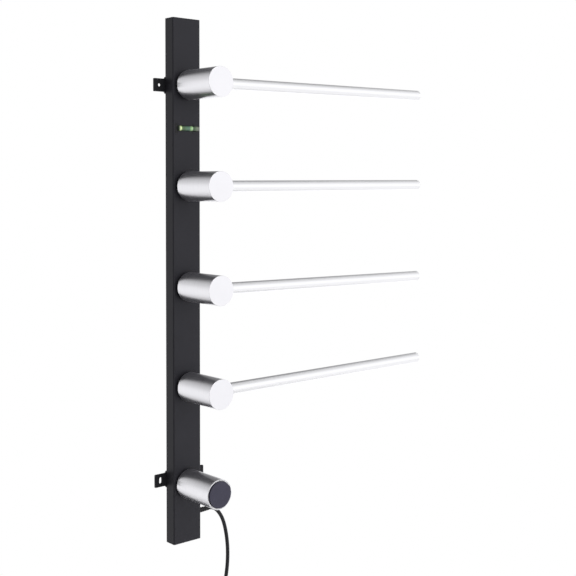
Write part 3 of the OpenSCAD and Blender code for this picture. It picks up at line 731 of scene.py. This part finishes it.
coil_low, coil_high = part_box("button_spring")
SPRING_WIRE = 1 * MM
spring_long = coil_high.y - coil_low.y
travel = next(joint for joint in frame["joints"] if joint["name"] == "button_press")["range_m"][1]
coil = grow(spring_tree(), facing(coil_high.y - SPRING_WIRE / 2), coil=coil_high.x - coil_low.x - SPRING_WIRE,
            wire=SPRING_WIRE, length=spring_long - SPRING_WIRE, turns=5.0)
return_spring = piece_of("return_spring", coil, "column", "steel", "button_spring")
1 - travel / spring_long
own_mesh(return_spring)
print("spring", round(spring_long * 1000, 2), "mm long, travel", travel * 1000, "mm")

# %% [markdown]
# ## Soft edges on flat parts
# The column, its caps and the brackets keep their CAD shape, but no real edge is razor sharp, and it
# is the rounded edge that catches the light. `softened` merges a copy of the CAD mesh, drops the
# edges that lie in one plane, and bevels the rest.

# %% Bevel copies of the flat CAD parts
FLAT_WITHIN = math.radians(0.5)
SAME_POINT = 1e-6


def softened(name, node, width, body, slot, angle=50):
    """A copy of a CAD part with its edges bevelled, kept in the CAD part's stead."""
    source = frame["nodes"][node].data
    shape = bmesh.new()
    points = [shape.verts.new(v.co) for v in source.vertices]
    for face in source.polygons:
        shape.faces.new([points[k] for k in face.vertices])
    bmesh.ops.remove_doubles(shape, verts=shape.verts, dist=SAME_POINT)
    bmesh.ops.dissolve_limit(shape, angle_limit=FLAT_WITHIN, verts=shape.verts, edges=shape.edges)
    mesh = bpy.data.meshes.new(name)
    shape.to_mesh(mesh)
    shape.free()
    draft = bpy.data.objects.new("draft", mesh)
    bpy.context.scene.collection.objects.link(draft)
    bevel = draft.modifiers.new("bevel", "BEVEL")
    bevel.width = width
    bevel.segments = 2
    bevel.limit_method = "ANGLE"
    bevel.angle_limit = math.radians(angle)
    return piece_of(name, smoothed(baked_mesh(draft)), body, slot, node)


flat_parts = {
    "column_shell": ("column_channel", 0.25, "column_paint"),
    "rear_cover": ("back_plate", 0.2, "column_paint"),
    "cap_at_top": ("top_cap", 0.3, "column_paint"),
    "cap_at_bottom": ("bottom_cap", 0.3, "column_paint"),
    "wall_bracket_upper": ("upper_bracket", 0.25, "bracket_paint"),
    "wall_bracket_lower": ("lower_bracket", 0.25, "bracket_paint"),
    "level_clips": ("vial_clips", 0.3, "black_plastic"),
    "lead_tie": ("cord_tie", 0.4, "black_plastic"),
}
for name, (node, width, slot) in flat_parts.items():
    made = softened(name, node, width * MM, "column", slot)
    print(name, len(made.data.polygons), "faces")

# %% [markdown]
# ## The level
# A short tube of green acrylic lies across the face, held at its left end by a black block and by a
# clip further along. Its ends are rounded. The air bubble is a piece of its own at the top of the
# liquid, inside the solid tube, where the tube's finish shows its painted highlight.

# %% Tube and bubble
tube_low, tube_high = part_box("vial_tube")
air_low, air_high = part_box("vial_bubble")


def lying(low, high):
    """The left end of a rod that fills a box along X, with Z turned to the right."""
    return Matrix.Translation((low.x, middle(low.y, high.y), middle(low.z, high.z))) @ TO_RIGHT


tube_d = tube_high.z - tube_low.z
tube = grow(TURNED, lying(tube_low, tube_high), diameter=tube_d, length=tube_high.x - tube_low.x,
            edge=1.2 * MM, sides=64)
piece_of("level_tube", tube, "column", "vial_green", "vial_tube")
bubble_d = air_high.z - air_low.z
bubble = grow(TURNED, lying(air_low, air_high), diameter=bubble_d, length=air_high.x - air_low.x,
              edge=bubble_d / 2 - 0.05 * MM, sides=32)
piece_of("level_bubble", bubble, "column", "bubble", "vial_bubble")
print("level tube", round((tube_high.x - tube_low.x) * 1000, 1), "mm long")

# %% [markdown]
# ## Sleeves on the lead
# Where a lead leaves a housing or a plug, a tapered rubber sleeve with grooves keeps it from
# kinking. Its tree is the turned tree's cousin: the points down the axis get a radius that falls
# from root to tip, less a groove that comes back every few millimetres.

# %% A tree for grooved sleeves
GROOVE_STEPS = 10
GROOVE_SOFTNESS = 0.6


def sleeve_tree():
    nodes, wire = new_tree("grooved_sleeve", {
        "Root": ("Float", 0.01), "Tip": ("Float", 0.0076), "Length": ("Float", 0.024),
        "Grooves": ("Int", 5), "Groove Depth": ("Float", 0.0008), "Finish": ("Material", None)})
    count = wire["Grooves"] * GROOVE_STEPS + (GROOVE_STEPS - 1)
    line = nodes.add("GeometryNodeCurvePrimitiveLine")
    line = nodes.add("GeometryNodeResampleCurve", None, {"Curve": line, "Count": count})
    along = nodes.add("GeometryNodeInputIndex") / (count - 1)
    wave = nodes.unary("SINE", along * (wire["Grooves"] + 0.5) * (2 * math.pi))
    groove = wave.math("MAXIMUM", wave * -1, 0.0) ** GROOVE_SOFTNESS
    radius = (wire["Root"] + (wire["Tip"] - wire["Root"]) * along) / 2 - groove * wire["Groove Depth"]
    place = nodes.add("ShaderNodeCombineXYZ", None, {"Z": along * wire["Length"]})
    line = nodes.add("GeometryNodeSetPosition", None, {"Geometry": line, "Position": place})
    circle = nodes.add("GeometryNodeCurvePrimitiveCircle", None, {"Resolution": 40, "Radius": 1.0})
    sleeve = nodes.add("GeometryNodeCurveToMesh", None,
                       {"Curve": line, "Profile Curve": circle, "Scale": radius, "Fill Caps": True})
    return end_tree(nodes, sleeve, wire["Finish"])


SLEEVE = sleeve_tree()
SLEEVE_SHAPE = {"root": 9.6 * MM, "tip": 7.6 * MM, "grooves": 4, "groove_depth": 0.7 * MM}
FLANGE_D = 11 * MM
FLANGE_T = 2 * MM
ROOT_D = 9 * MM
COLLAR_D = 12 * MM
relief_low, relief_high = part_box("strain_relief")
column_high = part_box("column_channel")[1]
lead_y = middle(relief_low.y, relief_high.y)
lead_z = middle(relief_low.z, relief_high.z)


def at_exit(x):
    """A place on the lead's axis where it leaves the column, with Z turned to the right."""
    return Matrix.Translation((x, lead_y, lead_z)) @ TO_RIGHT


sleeve = grow(SLEEVE, at_exit(column_high.x + FLANGE_T),
              length=relief_high.x - column_high.x - FLANGE_T, **SLEEVE_SHAPE)
flange = grow(TURNED, at_exit(column_high.x), diameter=FLANGE_D, length=FLANGE_T, edge=0.5 * MM, sides=40)
root = grow(TURNED, at_exit(relief_low.x), diameter=ROOT_D, length=column_high.x - relief_low.x,
            edge=0.3 * MM, sides=40)
collar = grow(TURNED, at_exit(relief_low.x), diameter=COLLAR_D, length=FLANGE_T, edge=0.3 * MM, sides=40)
lead_sleeve = piece_of("lead_sleeve", joined(sleeve, flange, root, collar), "column", "black_plastic",
                       "strain_relief")
print("sleeve", round((relief_high.x - column_high.x) * 1000, 1), "mm outside the column")

# %% [markdown]
# ## The plug
# The plug is moulded onto the lead: a grooved sleeve, shoulders that widen in a curve, and a flat
# body with a shallow waist for the fingers. It is lofted from rings whose outline is a rounded
# rectangle, a superellipse, so one formula gives both the round neck and the squarish body.

# %% Loft the plug
plug_low, plug_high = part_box("plug")
SLEEVE_LONG = 24 * MM
PLUG_STATIONS = [
    (0.0, 0.30, 0.40, 2.0), (0.04, 0.36, 0.48, 2.0), (0.10, 0.56, 0.66, 2.3), (0.20, 0.80, 0.86, 2.8),
    (0.32, 0.94, 0.96, 3.4), (0.42, 0.96, 0.94, 4.0), (0.55, 0.93, 0.84, 4.4), (0.70, 0.95, 0.86, 4.6),
    (0.84, 1.0, 0.98, 4.8), (0.94, 1.0, 1.0, 5.0), (0.985, 0.98, 0.975, 5.0), (1.0, 0.94, 0.92, 5.0)]
RING_POINTS = 48


def ring(width, depth, power):
    """Points of a superellipse."""
    points = []
    for k in range(RING_POINTS):
        turn = 2 * math.pi * k / RING_POINTS
        c, s = math.cos(turn), math.sin(turn)
        points.append((math.copysign(abs(c) ** (2 / power), c) * width / 2,
                       math.copysign(abs(s) ** (2 / power), s) * depth / 2))
    return points


def lofted(centre, top, length, width, depth, stations):
    """A closed skin through the rings, from the top down."""
    skin = bmesh.new()
    rings = [[skin.verts.new((centre.x + x, centre.y + y, top - share * length))
              for x, y in ring(wide * width, deep * depth, power)] for share, wide, deep, power in stations]
    for upper, lower in zip(rings, rings[1:]):
        for k in range(RING_POINTS):
            follow = (k + 1) % RING_POINTS
            skin.faces.new((upper[k], lower[k], lower[follow], upper[follow]))
    skin.faces.new(rings[0])
    skin.faces.new(list(reversed(rings[-1])))
    bmesh.ops.recalc_face_normals(skin, faces=skin.faces)
    mesh = bpy.data.meshes.new("loft")
    skin.to_mesh(mesh)
    skin.free()
    return mesh


plug_middle = middle(plug_low, plug_high)
body_long = plug_high.z - SLEEVE_LONG - plug_low.z
body = lofted(plug_middle, plug_high.z - SLEEVE_LONG + 1 * MM, body_long + 1 * MM,
              plug_high.x - plug_low.x, plug_high.y - plug_low.y, PLUG_STATIONS)
neck = grow(SLEEVE, Matrix.Translation((plug_middle.x, plug_middle.y, plug_high.z - SLEEVE_LONG)),
            length=SLEEVE_LONG, **SLEEVE_SHAPE)
moulded_plug = piece_of("moulded_plug", joined(body, neck), "column", "black_plastic", "plug")
pins = softened("plug_contacts", "plug_pins", 0.3 * MM, "column", "steel")
print("plug", round(body_long * 1000, 1), "mm long without its sleeve")

# %% [markdown]
# ## The pieces inside
# The heaters, harness, board and switch keep their CAD shapes, which nobody sees unless the cover is
# off. Each takes the finish of its slot in the record.

# %% Finish every CAD piece that still shows
slots = {part["node"]: part["material_slot"] for part in frame["record"]["subparts"]}
plain = [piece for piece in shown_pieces() if "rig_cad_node" in piece]
for piece in plain:
    piece.data.materials.clear()
    piece.data.materials.append(finishes[slots[piece["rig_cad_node"]]])
print("CAD pieces with their slot's finish:", len(plain))

# %% [markdown]
# ## Floor and light
# The stage is a pale round floor that fades out at its edge. The light comes from the whole sky,
# with seven soft boxes painted into it. Two stand in front to the right, which the hubs' flat faces
# mirror, two behind to the left, which the hubs' sides mirror, one straight in front, one behind to
# the right for the bars, and one overhead that whitens the floor. Between them the sky is dimmer, and
# that gives the round parts their grey bands. Straight from the camera the sky is plain white.

# %% A pale floor
FLOOR_DROP = 60 * MM
FLOOR_R = 0.85
FLOOR_AT = (0.2, -0.1)
FADE_SHARE = 0.6
FADE_SOFTNESS = 0.5


def pale_floor():
    disc = bmesh.new()
    bmesh.ops.create_circle(disc, cap_ends=True, segments=96, radius=FLOOR_R)
    mesh = bpy.data.meshes.new("floor")
    disc.to_mesh(mesh)
    disc.free()
    finish = Finish("floor_white", (0.9, 0.9, 0.9), 0.7)
    grain = finish.noise(30)
    finish.shade(grain, 0.98, 1.02)
    place = finish.add("ShaderNodeTexCoord", output=3)
    far = finish.add("ShaderNodeVectorMath", {"operation": "LENGTH"}, {0: place}, output=1)
    fade = finish.add("ShaderNodeMath", {"operation": "SMOOTH_MIN"},
                      {0: (FLOOR_R - far) / (FLOOR_R * FADE_SHARE), 1: 1.0, 2: FADE_SOFTNESS})
    finish.set("Alpha", fade)
    floor = bpy.data.objects.new("floor", mesh)
    floor.location = (*FLOOR_AT, cad_bounds[0].z - FLOOR_DROP)
    mesh.materials.append(finish.material)
    bpy.context.scene.collection.objects.link(floor)
    return floor


print("floor at", round(pale_floor().location.z, 3), "m")

# %% The sky and its soft boxes
SKY_DIM = 0.2
SKY_TINT = (0.985, 0.985, 1.0, 1)
WHITE = (1, 1, 1, 1)
SOFT_BOXES = [
    ((0.75, -0.45, -0.25), -0.1, 0.8, 0.84),
    ((0.655, -0.755, 0.05), 0.86, 1.0, 0.14),
    ((-0.52, 0.78, -0.15), 0.56, 0.88, 0.58),
    ((-0.60, 0.75, -0.20), 0.84, 0.99, 0.34),
    ((-0.15, -1.0, 0.15), 0.84, 0.95, 1.7),
    ((0.62, 0.72, -0.32), 0.88, 0.985, 0.8),
    ((0.0, 0.0, 1.0), 0.80, 0.95, 2.2),
]


def studio_sky():
    """A dim sky with each soft box added: its direction, outer edge, inner edge and strength."""
    world = bpy.data.worlds.new("sky")
    world.use_nodes = True
    bpy.context.scene.world = world
    sky = Nodes(world.node_tree)
    way = sky.add("ShaderNodeTexCoord", output=0)
    light = SKY_DIM
    for direction, outer, inner, strength in SOFT_BOXES:
        aim = tuple(Vector(direction).normalized())
        near = sky.add("ShaderNodeVectorMath", {"operation": "DOT_PRODUCT"}, {0: way, 1: aim}, output=1)
        glow = sky.add("ShaderNodeMapRange", {"interpolation_type": "SMOOTHSTEP"},
                       {"Value": near, "From Min": outer, "From Max": inner})
        light = light + glow * strength
    seen = sky.add("ShaderNodeLightPath", output=0)
    strength = light * (1 - seen) + seen
    back = world.node_tree.nodes["Background"]
    sky.feed(back.inputs["Color"], sky.mixed(seen, SKY_TINT, WHITE))
    sky.feed(back.inputs["Strength"], strength)


studio_sky()
bpy.context.scene.view_settings.view_transform = "Standard"
print("soft boxes:", len(SOFT_BOXES))

# %% [markdown]
# ## Measure
# The CAD's box, taken before the looks were added, is printed.

# %% Print the CAD's box
print("cad", [[round(c, 4) for c in corner] for corner in cad_bounds])
